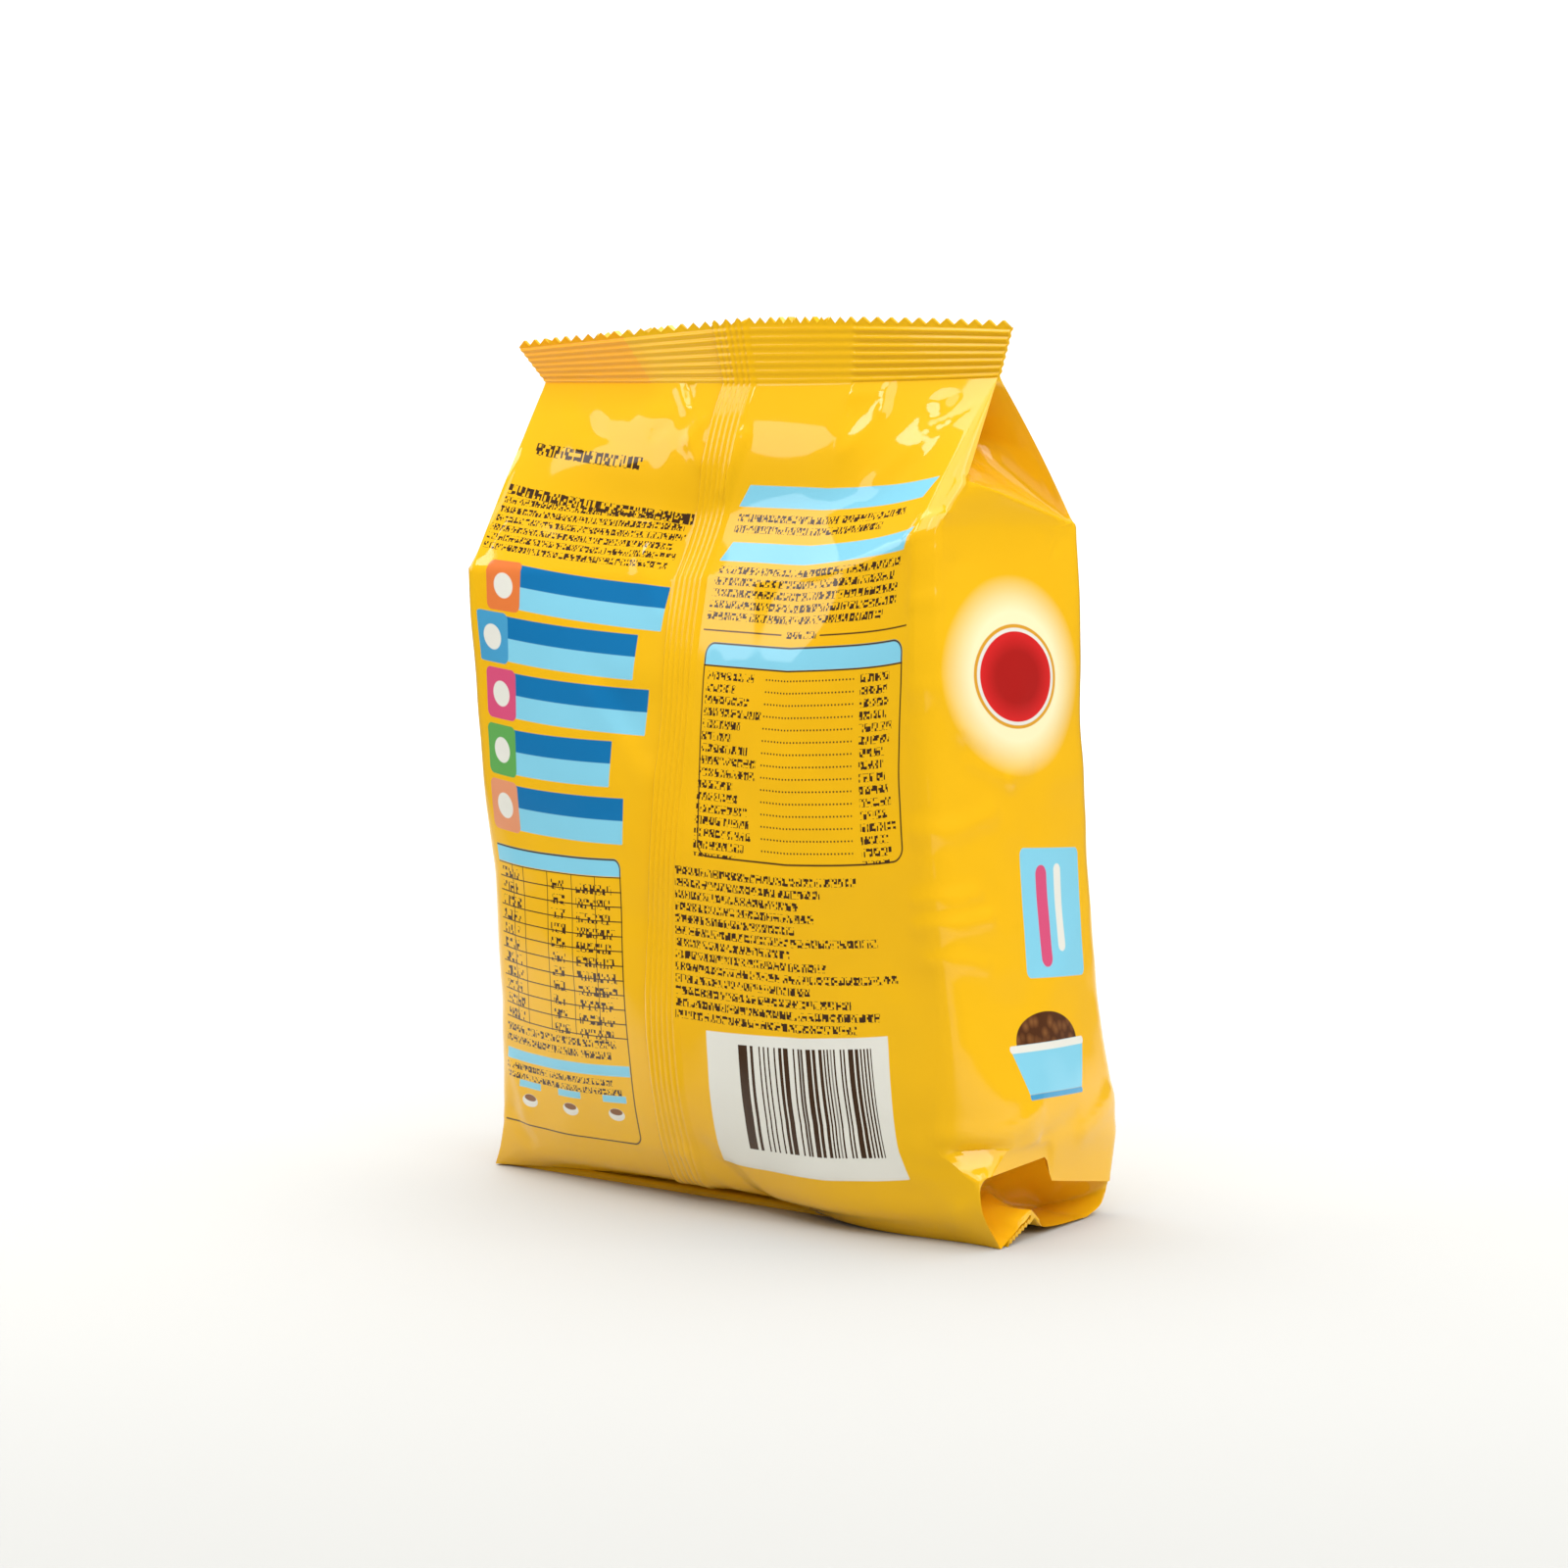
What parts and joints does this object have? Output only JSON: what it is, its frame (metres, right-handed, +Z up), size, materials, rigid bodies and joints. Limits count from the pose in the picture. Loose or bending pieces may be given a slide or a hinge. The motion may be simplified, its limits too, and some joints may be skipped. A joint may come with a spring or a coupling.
{
  "type": "stand-up gusseted film pouch",
  "caption": "Filled and sealed film pouch with side gussets, a toothed top seal, a fin seal down its back and a folded base it stands on.",
  "frame": {"origin": "bottom centre of the outer box, on the surface the pouch stands on", "axes": "+Z up, -Y out of the back panel with the fin seal, +Y out of the front panel, +X to the right seen from the back panel"},
  "size_m": [0.1468, 0.0622, 0.1962],
  "materials": {
    "film": "glossy printed film"
  },
  "bodies": {
    "root": {"pouch": "film"}
  },
  "joints": []
}
